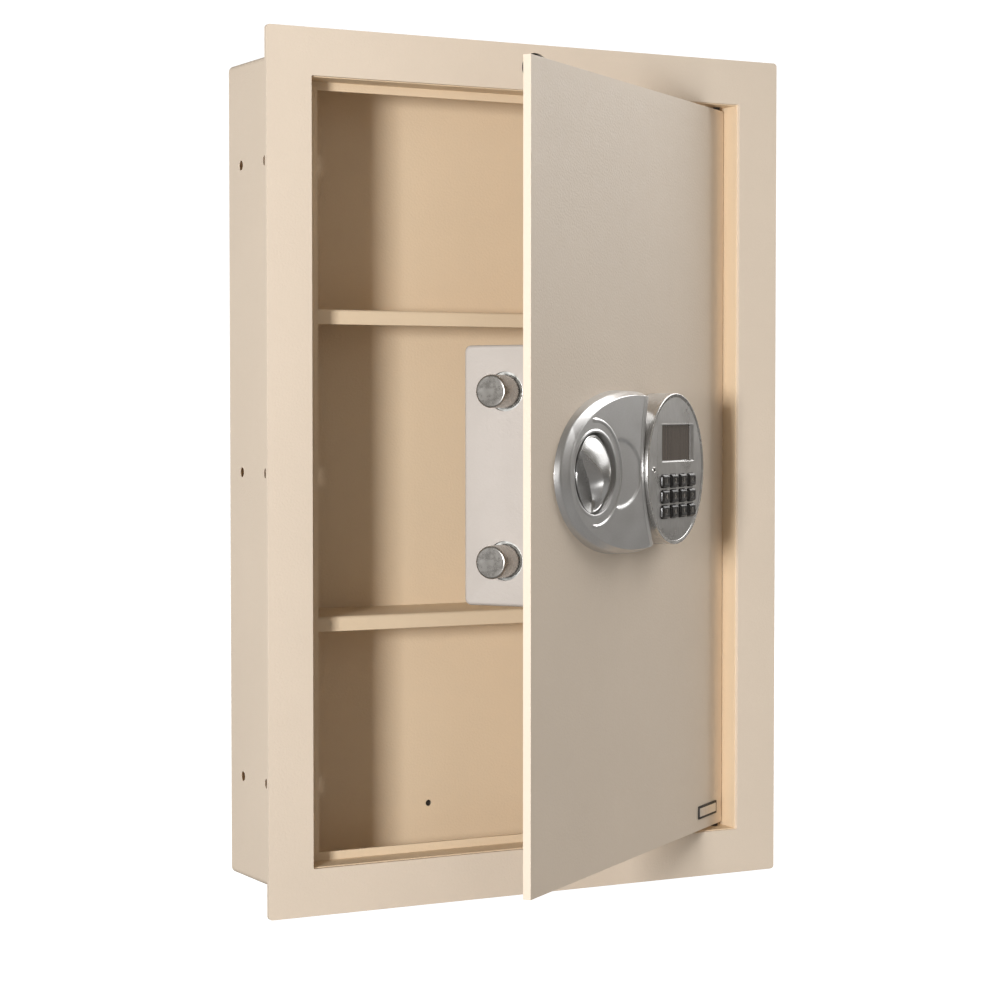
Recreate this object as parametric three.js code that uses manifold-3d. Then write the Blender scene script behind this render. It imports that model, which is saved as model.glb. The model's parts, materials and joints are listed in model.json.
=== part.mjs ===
// Wall safe that sits between two studs: a folded steel box with a trim flange, two fixed shelves
// and a hinged door carrying a knob, two live bolts and a keypad lock.
// Millimetres. +Z is up, +X is to the right, +Y runs into the wall, and the wall's face is y = 0.
// The origin is the middle of the opening cut in the wall.
import * as THREE from "three";
import { mergeVertices } from "three/addons/utils/BufferGeometryUtils.js";
import Module from "manifold-3d";

const wasm = await Module();
wasm.setup();

// ---- Box and flange ----
const BODY_W = 355.6;
const BODY_H = 533.4;
const BODY_D = 92.5;
const SHEET = 2;
const BODY_CORNER_R = 4;
const FLANGE_W = 384;
const FLANGE_H = 562;
const FLANGE_T = 3;
const FLANGE_CORNER_R = 2.5;
const OPENING_W = 322.4;
const OPENING_H = 501.8;
const SIDE_HOLE_R = 3.2;
const SIDE_HOLE_DEPTHS = [33.5, 72.5];
const SIDE_HOLE_HEIGHTS = [-200, 0, 200];
const BACK_HOLE_R = 2.2;
const BACK_HOLE_AT = [-32, -231];
const PLUG_HOLE_R = 10;
const PLUG_HEIGHT = 265.6;
const FIT_GAP = 0.1;

// ---- Jamb: the return behind the flange, with the lip that the door closes against ----
const JAMB_W = 321.2;
const JAMB_H = 500.6;
const JAMB_D = 22;
const LIP_T = 2;
const LIP_TOP_EDGE = 245;
const LIP_LEFT_EDGE = -147;
const LIP_HINGE_END = 142;

// ---- Shelves ----
const SHELF_TOPS = { shelf_upper: 105.5, shelf_lower: -93 };
const SHELF_W = 350;
const SHELF_FRONT = 23.5;
const SHELF_BACK = 90;
const SHELF_T = 1.5;
const SHELF_LIP = 9.6;
const BRACKET_LEG = 12;
const BRACKET_DROP = 9.5;

// ---- Door: s runs from the free edge to the hinge edge, d runs back from the front face ----
const DOOR_W = 317.4;
const DOOR_H = 495.8;
const DOOR_T = 5;
const DOOR_LEFT = -158.8;
const DOOR_RECESS = 11.5;
const PIVOT_INSET = 4.6;
const PIVOT_DEPTH = 3.6;
const PIVOT_S = DOOR_W - PIVOT_INSET;
const OPEN_ANGLE = THREE.MathUtils.degToRad(35.9);
const PIN_R = 2.5;
const HINGE_BLOCK = { s: 12.6, d: 9.6, z: 24 };
const BUSHING_R = 7;
const BUSHING_H = 8;

// ---- Lock, measured on the door as (s, z) ----
const KNOB_AT = [74.9, 1.9];
const KEYPAD_AT = [187.5, 2.5];
const BASE_AT = [129.5, 1.5];
const BASE_RADII = [97, 51.6];
const BASE_FACE_RADII = [85, 48.5];
const BASE_RINGS = 56;
const BASE_WALL = 2.4;
const BASE_CLEAR = 30;
const FACE_RISE = { at: 44.6, height: 5.2, slope: 0.1096 };
const LAND_EDGE = { top: 127.8, bottom: 146.4, reach: 70 };
const LAND_H = 14.8;
const DISH_R = 25.2;
const DISH_FLOOR = 3;
const KNOB_R = 23.8;
const KNOB_TILT = THREE.MathUtils.degToRad(51);
const KNOB_TOP = 13.8;
const GRIP_HALF_W = 7;
const SPINDLE_R = 4;
const KEYPAD_R = 49;
const KEYPAD_WALL = 2.2;
const KEYPAD_BODY_H = 14.5;
const KEYPAD_GAP = 0.4;
const LEAD_HOLE_R = 7;
const FACE_R = 46.3;
const FACE_H = [14.6, 16.6];
const RIM_H = [14.6, 17.1];
const LCD_AT = [191.3, 19.4];
const LCD_SIZE = [52, 23.6];
const LCD_GLASS_H = [13.3, 14.5];
const DISPLAY_H = [8.7, 13.2];
const KEY_SIZE = [12, 8.3];
const KEY_PITCH = [15.15, 9.9];
const KEY_FIRST = [168.1, -5.1];
const KEY_H = [10.6, 18.7];
const KEY_ROWS = [
  ["key_1", "key_2", "key_3", "key_left"],
  ["key_4", "key_5", "key_6", "key_right"],
  ["key_7", "key_8", "key_9", "key_0"],
];
const LED_AT = [150, 2.6];
const LED_R = 1.3;

// ---- Bolt work behind the door ----
const COVER_S = [38, 236];
const COVER_D = [5.2, 62.5];
const COVER_Z = [-78.3, 80];
const COVER_T = 1.5;
const COVER_R = 4;
const BOLT_R = 10;
const BOLT_D = 35;
const BOLT_HEIGHTS = { bolt_upper: 51.9, bolt_lower: -50.6 };
const BOLT_S = [18, 65.7];
const BOLT_HOLE_R = 12;
const CRANK = 10;
const CRANK_PIN_R = 2.5;
const CAM_R = 18;
const CAM_D = [18, 22];
const BAR_S = [66, 70];
const BAR_D = [24, 46];
const YOKE_D = [24, 27];
const PLUNGER_R = 2.5;
const PLUNGER_AT = [KNOB_AT[0], KNOB_AT[1] - 13];
const PLUNGER_D = [22.6, 48];
const SOLENOID_D = [34, 60.8];
const SOLENOID_S = [71, 92];

const FINISH = {
  cream: { color: 0xe4d5c3, roughness: 0.55, metalness: 0 },
  cover: { color: 0xd2cbc2, roughness: 0.5, metalness: 0 },
  steel: { color: 0x8d8b88, roughness: 0.3, metalness: 1 },
  zinc: { color: 0xb9b9b4, roughness: 0.4, metalness: 1 },
  silver: { color: 0x9a9896, roughness: 0.35, metalness: 0.7 },
  chrome: { color: 0xe0ddd8, roughness: 0.12, metalness: 1 },
  black: { color: 0x16130f, roughness: 0.5, metalness: 0 },
  glass: { color: 0x5b524b, roughness: 0.15, metalness: 0 },
  board: { color: 0x1f5a35, roughness: 0.6, metalness: 0 },
  cell: { color: 0x3b4a5e, roughness: 0.4, metalness: 0 },
};

// ---- Shapes and solids ----

function roundedRect(width, height, radius, cx = 0, cy = 0, Kind = THREE.Shape) {
  const [x, y] = [cx - width / 2, cy - height / 2];
  const path = new Kind();
  path.moveTo(x + radius, y);
  path.lineTo(x + width - radius, y);
  path.absarc(x + width - radius, y + radius, radius, -Math.PI / 2, 0);
  path.lineTo(x + width, y + height - radius);
  path.absarc(x + width - radius, y + height - radius, radius, 0, Math.PI / 2);
  path.lineTo(x + radius, y + height);
  path.absarc(x + radius, y + height - radius, radius, Math.PI / 2, Math.PI);
  path.lineTo(x, y + radius);
  path.absarc(x + radius, y + radius, radius, Math.PI, 1.5 * Math.PI);
  return path;
}

function polygon(points, Kind = THREE.Shape) {
  return new Kind(points.map(([x, y]) => new THREE.Vector2(x, y)));
}

function rect(x0, y0, x1, y1, Kind = THREE.Shape) {
  return polygon([[x0, y0], [x1, y0], [x1, y1], [x0, y1]], Kind);
}

function ellipse(cx, cy, rx, ry, Kind = THREE.Shape) {
  const path = new Kind();
  path.absellipse(cx, cy, rx, ry, 0, 2 * Math.PI, false, 0);
  return path;
}

function disc(cx, cy, r, Kind = THREE.Shape) {
  return ellipse(cx, cy, r, r, Kind);
}

function withHoles(shape, holes) {
  shape.holes.push(...holes);
  return shape;
}

function extruded(shape, length, curveSegments, bevel = 0) {
  return new THREE.ExtrudeGeometry(shape, {
    depth: length - 2 * bevel,
    curveSegments,
    bevelEnabled: bevel > 0,
    bevelThickness: bevel,
    bevelSize: bevel,
    bevelOffset: -bevel,
    bevelSegments: 1,
  }).translate(0, 0, bevel);
}

// A shape drawn in X and Z, extruded from y0 to y1.
function alongY(shape, y0, y1, segments = 8, bevel = 0) {
  return extruded(shape, y1 - y0, segments, bevel).rotateX(Math.PI / 2).translate(0, y1, 0);
}

// A shape drawn in Y and Z, extruded from x0 to x1.
const YZ_TO_X = new THREE.Matrix4().makeBasis(
  new THREE.Vector3(0, 1, 0),
  new THREE.Vector3(0, 0, 1),
  new THREE.Vector3(1, 0, 0),
);
function alongX(shape, x0, x1, segments = 8, bevel = 0) {
  return extruded(shape, x1 - x0, segments, bevel).applyMatrix4(YZ_TO_X).translate(x0, 0, 0);
}

// A shape drawn in X and Y, extruded from z0 to z1.
function alongZ(shape, z0, z1, segments = 8, bevel = 0) {
  return extruded(shape, z1 - z0, segments, bevel).translate(0, 0, z0);
}

function block(x0, x1, y0, y1, z0, z1) {
  return new THREE.BoxGeometry(x1 - x0, y1 - y0, z1 - z0).translate(
    (x0 + x1) / 2,
    (y0 + y1) / 2,
    (z0 + z1) / 2,
  );
}

function solid(geometry) {
  const plain = geometry.index ? geometry.toNonIndexed() : geometry.clone();
  plain.deleteAttribute("normal");
  plain.deleteAttribute("uv");
  const merged = mergeVertices(plain, 1e-4);
  return new wasm.Manifold(
    new wasm.Mesh({
      numProp: 3,
      vertProperties: merged.attributes.position.array,
      triVerts: new Uint32Array(merged.index.array),
    }),
  );
}

function geometryOf(manifold) {
  const mesh = manifold.getMesh();
  const geometry = new THREE.BufferGeometry();
  geometry.setAttribute("position", new THREE.BufferAttribute(mesh.vertProperties, mesh.numProp));
  geometry.setIndex(new THREE.BufferAttribute(mesh.triVerts, 1));
  geometry.computeVertexNormals();
  return geometry;
}

function cut(base, ...tools) {
  return geometryOf(tools.reduce((left, tool) => left.subtract(solid(tool)), solid(base)));
}

function join(base, ...others) {
  return geometryOf(others.reduce((sum, other) => sum.add(solid(other)), solid(base)));
}

function add(parent, name, finish, geometry) {
  const mesh = new THREE.Mesh(geometry, new THREE.MeshStandardMaterial(FINISH[finish]));
  mesh.name = name;
  parent.add(mesh);
  return mesh;
}

// ---- Box, flange and jamb ----

function bodyShell() {
  const wall = roundedRect(BODY_W, BODY_H, BODY_CORNER_R);
  const [innerW, innerH] = [BODY_W - 2 * SHEET, BODY_H - 2 * SHEET];
  wall.holes.push(roundedRect(innerW, innerH, BODY_CORNER_R - SHEET, 0, 0, THREE.Path));
  const reach = BODY_W / 2 + SHEET;
  const drills = SIDE_HOLE_DEPTHS.flatMap((depth) =>
    SIDE_HOLE_HEIGHTS.map((height) =>
      alongX(disc(depth, height, SIDE_HOLE_R), -reach, reach, 5),
    ),
  );
  return cut(alongY(wall, 0, BODY_D, 2), ...drills);
}

function backPanel() {
  const width = BODY_W - 2 * SHEET - 2 * FIT_GAP;
  const height = BODY_H - 2 * SHEET - 2 * FIT_GAP;
  const plate = roundedRect(width, height, BODY_CORNER_R - SHEET);
  plate.holes.push(disc(...BACK_HOLE_AT, BACK_HOLE_R, THREE.Path));
  return alongY(plate, BODY_D - SHEET, BODY_D, 3);
}

function frontFlange() {
  const plate = roundedRect(FLANGE_W, FLANGE_H, FLANGE_CORNER_R);
  plate.holes.push(roundedRect(OPENING_W, OPENING_H, 1, 0, 0, THREE.Path));
  plate.holes.push(disc(0, PLUG_HEIGHT, PLUG_HOLE_R, THREE.Path));
  return alongY(plate, -FLANGE_T, 0, 6);
}

function flangeHolePlug() {
  return alongY(disc(0, PLUG_HEIGHT, PLUG_HOLE_R - FIT_GAP), 0.6 - FLANGE_T, 0, 6);
}

// The lip runs along the top, the bottom and the bolt side, and stops short of the hinges.
function jambFrame() {
  const [halfW, halfH] = [JAMB_W / 2, JAMB_H / 2];
  const outline = () => rect(-halfW - SHEET, -halfH - SHEET, halfW + SHEET, halfH + SHEET);
  const sleeve = withHoles(outline(), [rect(-halfW, -halfH, halfW, halfH, THREE.Path)]);
  const mouth = polygon(
    [
      [LIP_LEFT_EDGE, -LIP_TOP_EDGE],
      [LIP_HINGE_END, -LIP_TOP_EDGE],
      [LIP_HINGE_END, -halfH],
      [halfW, -halfH],
      [halfW, halfH],
      [LIP_HINGE_END, halfH],
      [LIP_HINGE_END, LIP_TOP_EDGE],
      [LIP_LEFT_EDGE, LIP_TOP_EDGE],
    ],
    THREE.Path,
  );
  const lip = withHoles(outline(), [mouth]);
  const [pivotX, pivotY] = pivotPoint();
  const pinHole = alongZ(disc(pivotX, pivotY, PIN_R + FIT_GAP), -BODY_H / 2, BODY_H / 2);
  const whole = join(alongY(sleeve, 0, JAMB_D - LIP_T), alongY(lip, JAMB_D - LIP_T, JAMB_D));
  return cut(whole, pinHole);
}

// The bar that the bolts pass behind, welded to the back of the left lip.
function boltKeeper() {
  return block(-JAMB_W / 2 + FIT_GAP, LIP_LEFT_EDGE - 2, JAMB_D, 35.3, -80, 82);
}

function hingeBushing(side) {
  const [pivotX, pivotY] = pivotPoint();
  const ring = disc(pivotX, pivotY, BUSHING_R);
  ring.holes.push(disc(pivotX, pivotY, PIN_R + FIT_GAP, THREE.Path));
  const near = JAMB_H / 2 + SHEET;
  const z0 = side > 0 ? near : -near - BUSHING_H;
  return alongZ(ring, z0, z0 + BUSHING_H);
}

// ---- Shelves and their brackets ----

function shelf(top) {
  const section = polygon([
    [SHELF_FRONT, top],
    [SHELF_FRONT, top - SHELF_LIP],
    [SHELF_FRONT + SHELF_T, top - SHELF_LIP],
    [SHELF_FRONT + SHELF_T, top - SHELF_T],
    [SHELF_BACK, top - SHELF_T],
    [SHELF_BACK, top],
  ]);
  return alongX(section, -SHELF_W / 2, SHELF_W / 2);
}

function shelfBracket(top, side) {
  const wall = BODY_W / 2 - SHEET;
  const upper = top - SHELF_T - FIT_GAP;
  const section = polygon([
    [wall, upper],
    [wall, upper - BRACKET_DROP],
    [wall - SHELF_T, upper - BRACKET_DROP],
    [wall - SHELF_T, upper - SHELF_T],
    [wall - BRACKET_LEG, upper - SHELF_T],
    [wall - BRACKET_LEG, upper],
  ].map(([x, z]) => [side * x, z]));
  return alongY(section, SHELF_FRONT + 8, SHELF_BACK - 8);
}

// ---- Door plate and its pivots ----

function pivotPoint() {
  return [DOOR_LEFT + PIVOT_S, DOOR_RECESS + PIVOT_DEPTH];
}

function doorPlate() {
  const [half, notchS, notchZ] = [
    DOOR_H / 2,
    DOOR_W - HINGE_BLOCK.s - FIT_GAP,
    DOOR_H / 2 - HINGE_BLOCK.z - FIT_GAP,
  ];
  const outline = polygon([
    [0, -half],
    [notchS, -half],
    [notchS, -notchZ],
    [DOOR_W, -notchZ],
    [DOOR_W, notchZ],
    [notchS, notchZ],
    [notchS, half],
    [0, half],
  ]);
  outline.holes.push(disc(...KNOB_AT, SPINDLE_R + 0.6, THREE.Path));
  outline.holes.push(disc(...KEYPAD_AT, LEAD_HOLE_R, THREE.Path));
  return alongY(outline, 0, DOOR_T, 6);
}

function hingeBlock(side) {
  const [low, high] = [DOOR_H / 2 - HINGE_BLOCK.z, DOOR_H / 2].map((z) => side * z);
  const [z0, z1] = [Math.min(low, high), Math.max(low, high)];
  const bore = alongZ(disc(PIVOT_S, PIVOT_DEPTH, PIN_R + FIT_GAP), z0 - 1, z1 + 1);
  return cut(block(DOOR_W - HINGE_BLOCK.s, DOOR_W, 0, HINGE_BLOCK.d, z0, z1), bore);
}

function hingePin(side) {
  const [inner, outer] = [DOOR_H / 2 - HINGE_BLOCK.z + 2, JAMB_H / 2 + SHEET + BUSHING_H - 1];
  const [z0, z1] = side > 0 ? [inner, outer] : [-outer, -inner];
  return alongZ(disc(PIVOT_S, PIVOT_DEPTH, PIN_R), z0, z1);
}

// Plain metal plate near the lower hinge corner.
function nameplate() {
  return alongY(roundedRect(34, 9, 0.8, 289, -235.6), -0.8, 0, 2);
}

// ---- Lock front: oval base, knob and round keypad ----

// Height of the sloping face of the oval base, which rises towards the keypad.
function baseFaceHeight(s) {
  return FACE_RISE.height + FACE_RISE.slope * (s - FACE_RISE.at);
}

// One ring of an oval; share is how much of the face's height the ring stands at.
function ovalRing([radiusS, radiusZ], share, foot = FIT_GAP) {
  return Array.from({ length: BASE_RINGS }, (_, i) => {
    const angle = (2 * Math.PI * i) / BASE_RINGS;
    const s = BASE_AT[0] + radiusS * Math.cos(angle);
    const z = BASE_AT[1] + radiusZ * Math.sin(angle);
    return new THREE.Vector3(s, -(foot + share * (baseFaceHeight(s) - foot)), z);
  });
}

// Skin over rings of equal length, foot first, closed by a cap at each end.
function loft(rings) {
  const count = rings[0].length;
  const middle = (ring) =>
    ring.reduce((sum, point) => sum.add(point), new THREE.Vector3()).divideScalar(count);
  const foot = count * rings.length;
  const points = [...rings.flat(), middle(rings[0]), middle(rings.at(-1))];
  const faces = [];
  for (let i = 0; i < count; i++) {
    const next = (i + 1) % count;
    for (let low = 0; low < foot - count; low += count) {
      const high = low + count;
      faces.push(low + i, low + next, high + next, low + i, high + next, high + i);
    }
    faces.push(foot, next, i, foot + 1, foot - count + i, foot - count + next);
  }
  return new THREE.BufferGeometry().setFromPoints(points).setIndex(faces);
}

// Oval with a rounded shoulder and a sloping face, hollow behind, and cut away round the keypad.
function lockBase() {
  const radiiAt = (inset) =>
    BASE_RADII.map((radius, i) => radius + inset * (BASE_FACE_RADII[i] - radius));
  const shoulder = [[0, 0], [0.05, 0.3], [0.17, 0.67], [1, 1]];
  const oval = loft(shoulder.map(([inset, share]) => ovalRing(radiiAt(inset), share)));
  const inner = BASE_FACE_RADII.map((radius) => radius - 2 * BASE_WALL);
  const lowered = ovalRing(inner, 1).map((point) => point.setY(point.y + BASE_WALL));
  const hollow = cut(
    loft([ovalRing(inner, 0, -1), lowered]),
    alongY(disc(...KNOB_AT, DISH_R + BASE_WALL), -BASE_CLEAR, 2, 12),
  );
  const { top, bottom, reach } = LAND_EDGE;
  const land = polygon([[top, reach], [bottom, -reach], [250, -reach], [250, reach]]);
  return cut(
    oval,
    hollow,
    alongY(land, -BASE_CLEAR, -LAND_H),
    alongY(disc(...KEYPAD_AT, KEYPAD_R + KEYPAD_GAP), -BASE_CLEAR, 1, 16),
    alongY(disc(...KNOB_AT, DISH_R), -BASE_CLEAR, -DISH_FLOOR, 12),
    alongY(disc(...KNOB_AT, SPINDLE_R + 0.6), -BASE_CLEAR, 1, 6),
  );
}

// A round button with a raised grip across it, leaning to the free edge at the top.
function knob() {
  const turned = new THREE.LatheGeometry(
    [
      [0, DISH_FLOOR + 0.4],
      [KNOB_R, DISH_FLOOR + 0.4],
      [KNOB_R, 6.4],
      [KNOB_R - 1, 7.3],
      [0, 8.6],
    ].map(([r, h]) => new THREE.Vector2(r, h)),
    40,
  ).rotateX(Math.PI);
  const oval = ellipse(0, 0, GRIP_HALF_W, KNOB_R - 2);
  const grip = alongY(oval, -KNOB_TOP, -5, 8, 3).rotateY(-KNOB_TILT);
  return join(turned, grip).translate(KNOB_AT[0], 0, KNOB_AT[1]);
}

function knobSpindle() {
  return alongY(disc(...KNOB_AT, SPINDLE_R), 0.3 - DISH_FLOOR, CAM_D[0] - FIT_GAP, 6);
}

// Round cup that stands on the door, with a hole in its floor for the lead.
function keypadHousing() {
  const cup = alongY(disc(...KEYPAD_AT, KEYPAD_R), -KEYPAD_BODY_H, -0.2, 14);
  const inside = alongY(disc(...KEYPAD_AT, KEYPAD_R - KEYPAD_WALL), -KEYPAD_BODY_H - 1, -2, 14);
  return cut(cup, inside, alongY(disc(...KEYPAD_AT, LEAD_HOLE_R), -5, 1, 6));
}

function keypadRim() {
  const ring = disc(...KEYPAD_AT, KEYPAD_R + 0.2);
  ring.holes.push(disc(...KEYPAD_AT, FACE_R + 0.2, THREE.Path));
  return alongY(ring, -RIM_H[1], -RIM_H[0], 14, 0.6);
}

function keyCentres() {
  return KEY_ROWS.flatMap((names, row) =>
    names.map((name, column) => ({
      name,
      at: [KEY_FIRST[0] + column * KEY_PITCH[0], KEY_FIRST[1] - row * KEY_PITCH[1]],
    })),
  );
}

function keypadFace() {
  const [h0, h1] = [-FACE_H[1] - 1, 1 - FACE_H[0]];
  const [width, height] = KEY_SIZE.map((side) => side + 0.6);
  const keyHoles = keyCentres().map(({ at }) =>
    alongY(roundedRect(width, height, 1.8, ...at), h0, h1, 1),
  );
  return cut(
    alongY(disc(...KEYPAD_AT, FACE_R), -FACE_H[1], -FACE_H[0], 14),
    alongY(roundedRect(...LCD_SIZE, 1, ...LCD_AT), h0, h1, 1),
    alongY(disc(...LED_AT, LED_R + FIT_GAP), h0, h1, 4),
    ...keyHoles,
  );
}

function key([s, z]) {
  return alongY(roundedRect(...KEY_SIZE, 1.5, s, z), -KEY_H[1], -KEY_H[0], 1, 0.6);
}

function lcdWindow() {
  const pane = roundedRect(LCD_SIZE[0] + 3, LCD_SIZE[1] + 3, 1, ...LCD_AT);
  return alongY(pane, -LCD_GLASS_H[1], -LCD_GLASS_H[0], 2);
}

// Round circuit board with the display soldered to it.
function keypadBoard() {
  const board = alongY(disc(...KEYPAD_AT, KEYPAD_R - KEYPAD_WALL - 0.8), -8.8, -7.2, 10);
  const display = roundedRect(LCD_SIZE[0] + 4, LCD_SIZE[1] + 6, 1, ...LCD_AT);
  return join(board, alongY(display, -DISPLAY_H[1], -DISPLAY_H[0], 2));
}

function statusLed() {
  return alongY(disc(...LED_AT, LED_R), -FACE_H[1] - 0.4, -FACE_H[0] + 2, 4, 0.4);
}

// ---- Bolt work ----

// Sheet box, open towards the door, with two holes in the side that faces the free edge.
function lockCover() {
  const [depth, height] = [COVER_D[1] - COVER_D[0], COVER_Z[1] - COVER_Z[0]];
  const middle = [COVER_D[0] + depth / 2, COVER_Z[0] + height / 2];
  const outer = cut(
    alongX(roundedRect(depth + 20, height, COVER_R, middle[0] - 10, middle[1]), ...COVER_S, 4),
    block(COVER_S[0] - 1, COVER_S[1] + 1, COVER_D[0] - 40, COVER_D[0], -200, 200),
  );
  const inside = block(
    COVER_S[0] + COVER_T,
    COVER_S[1] - COVER_T,
    COVER_D[0] - 1,
    COVER_D[1] - COVER_T,
    COVER_Z[0] + COVER_T,
    COVER_Z[1] - COVER_T,
  );
  const boltHoles = Object.values(BOLT_HEIGHTS).map((z) =>
    alongX(disc(BOLT_D, z, BOLT_HOLE_R), COVER_S[0] - 1, COVER_S[0] + 4, 8),
  );
  const screwHoles = coverScrewCentres().map(([s, z]) =>
    alongY(disc(s, z, 1.7), COVER_D[1] - 4, COVER_D[1] + 1, 4),
  );
  return cut(outer, inside, ...boltHoles, ...screwHoles);
}

function coverScrewCentres() {
  return [COVER_S[0] + 14, COVER_S[1] - 14].flatMap((s) =>
    [COVER_Z[0] + 14, COVER_Z[1] - 14].map((z) => [s, z]),
  );
}

// Pan-head screw through the back of the cover.
function coverScrew([s, z]) {
  const profile = [
    [0, -1.9],
    [1.9, -1.7],
    [3.4, -0.6],
    [3.4, 0],
    [1.5, 0],
    [1.5, 9],
    [0, 9],
  ].map(([r, h]) => new THREE.Vector2(r, h));
  const turned = new THREE.LatheGeometry(profile, 16).rotateX(Math.PI);
  return turned.translate(s, COVER_D[1] + FIT_GAP, z);
}

// Angle fixed to the door, with a bore for each bolt.
function boltGuide() {
  const plate = rect(DOOR_T + 0.3, -70, BOLT_D + BOLT_R + 3, 72);
  const bores = Object.values(BOLT_HEIGHTS).map((z) =>
    disc(BOLT_D, z, BOLT_R + 0.2, THREE.Path),
  );
  const web = alongX(withHoles(plate, bores), 41, 44, 10);
  return join(web, block(43.9, 58, DOOR_T + 0.3, DOOR_T + 3.3, -70, 72));
}

function bolt(z) {
  const [s0, s1] = BOLT_S;
  return alongX(disc(BOLT_D, z, BOLT_R), s0, s1, 10, 0.9);
}

// Upright bar behind both bolts, with a slotted ear that the crank pin pushes along.
function boltCarriage() {
  const bar = block(...BAR_S, ...BAR_D, -62, 64);
  const slot = (z0, z1) => rect(KNOB_AT[0] + CRANK - 3.1, z0, KNOB_AT[0] + CRANK + 3.1, z1, THREE.Path);
  const ear = rect(BAR_S[0] + 1, -3, KNOB_AT[0] + CRANK + 7, 24);
  ear.holes.push(slot(KNOB_AT[1] + 6.6, KNOB_AT[1] + 18.6));
  return join(bar, alongY(ear, ...YOKE_D));
}

// Disc on the spindle, with the crank pin and the two holes that the plunger locks into.
function driveCam() {
  const [s, z] = KNOB_AT;
  const reach = PLUNGER_AT[1] - z;
  const plate = disc(s, z, CAM_R);
  plate.holes.push(disc(s, z + reach, PLUNGER_R + 0.5, THREE.Path));
  plate.holes.push(disc(s + reach, z, PLUNGER_R + 0.5, THREE.Path));
  const pin = alongY(disc(s + CRANK, z + CRANK, CRANK_PIN_R), CAM_D[0] + 1, YOKE_D[1] + 2, 6);
  return join(alongY(plate, ...CAM_D, 10), pin);
}

function solenoid() {
  const [s0, s1] = SOLENOID_S;
  const z = PLUNGER_AT[1];
  const [front, back] = SOLENOID_D;
  const bore = alongY(disc(...PLUNGER_AT, PLUNGER_R + 0.3), front - 1, back - 6, 6);
  return cut(block(s0, s1, front, back, z - 11, z + 11), bore);
}

function solenoidPlunger() {
  const shaft = alongY(disc(...PLUNGER_AT, PLUNGER_R), ...PLUNGER_D, 6);
  const collar = alongY(disc(...PLUNGER_AT, PLUNGER_R + 1.5), 27.6, 28.8, 6);
  return join(shaft, collar);
}

// Coil between the collar and the solenoid.
function plungerSpring() {
  const [turns, wire, length] = [4, 0.5, SOLENOID_D[0] - 28.8 - 1.6];
  class Helix extends THREE.Curve {
    getPoint(t, target = new THREE.Vector3()) {
      const angle = 2 * Math.PI * turns * t;
      const radius = PLUNGER_R + 0.9;
      return target.set(radius * Math.cos(angle), length * t, radius * Math.sin(angle));
    }
  }
  const wireShape = new THREE.Shape();
  wireShape.absarc(0, 0, wire, 0, 2 * Math.PI);
  return new THREE.ExtrudeGeometry(wireShape, {
    steps: 28,
    curveSegments: 3,
    extrudePath: new Helix(),
  }).translate(PLUNGER_AT[0], 28.8 + 0.8, PLUNGER_AT[1]);
}

function controlBoard() {
  const board = block(108, 146, 10, 11.6, -58, 60);
  const relay = block(114, 126, 11.5, 20, 30, 46);
  const chip = block(116, 136, 11.5, 14, -10, 2);
  const socket = block(112, 124, 11.5, 18, -50, -38);
  return join(board, relay, chip, socket);
}

const CELL_R = 7.25;
const CELL_LENGTH = 50.5;
const CELL_S = [165, 181, 197, 213];
const CELL_D = 19;
const CELL_Z0 = -26;

function batteryHolder() {
  const [s0, s1] = [CELL_S[0] - 9, CELL_S[3] + 9];
  const [z0, z1] = [CELL_Z0 - 3, CELL_Z0 + CELL_LENGTH + 3];
  const tray = block(s0, s1, 8, 22, z0, z1);
  const well = block(s0 + 1.4, s1 - 1.4, 10, 40, z0 + 1.8, z1 - 1.8);
  return cut(tray, well);
}

function batteryCell(s) {
  const profile = [
    [0, 0],
    [CELL_R, 0],
    [CELL_R, CELL_LENGTH - 1.5],
    [2.7, CELL_LENGTH - 1.5],
    [2.7, CELL_LENGTH],
    [0, CELL_LENGTH],
  ].map(([r, h]) => new THREE.Vector2(r, h));
  const turned = new THREE.LatheGeometry(profile, 20).rotateX(Math.PI / 2);
  return turned.translate(s, CELL_D, CELL_Z0);
}

// ---- Assembly ----

const safe = new THREE.Group();
add(safe, "body_shell", "cream", bodyShell());
add(safe, "back_panel", "cream", backPanel());
add(safe, "front_flange", "cream", frontFlange());
add(safe, "jamb_frame", "cream", jambFrame());
add(safe, "flange_hole_plug", "black", flangeHolePlug());
add(safe, "bolt_keeper", "zinc", boltKeeper());
for (const [name, top] of Object.entries(SHELF_TOPS)) {
  add(safe, name, "cream", shelf(top));
  add(safe, `${name}_bracket_left`, "cream", shelfBracket(top, -1));
  add(safe, `${name}_bracket_right`, "cream", shelfBracket(top, 1));
}

const swing = new THREE.Group();
const [hingeX, hingeY] = pivotPoint();
swing.position.set(hingeX, hingeY, 0);
swing.rotation.z = OPEN_ANGLE;
safe.add(swing);
const door = new THREE.Group();
door.position.set(-PIVOT_S, -PIVOT_DEPTH, 0);
swing.add(door);

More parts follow.
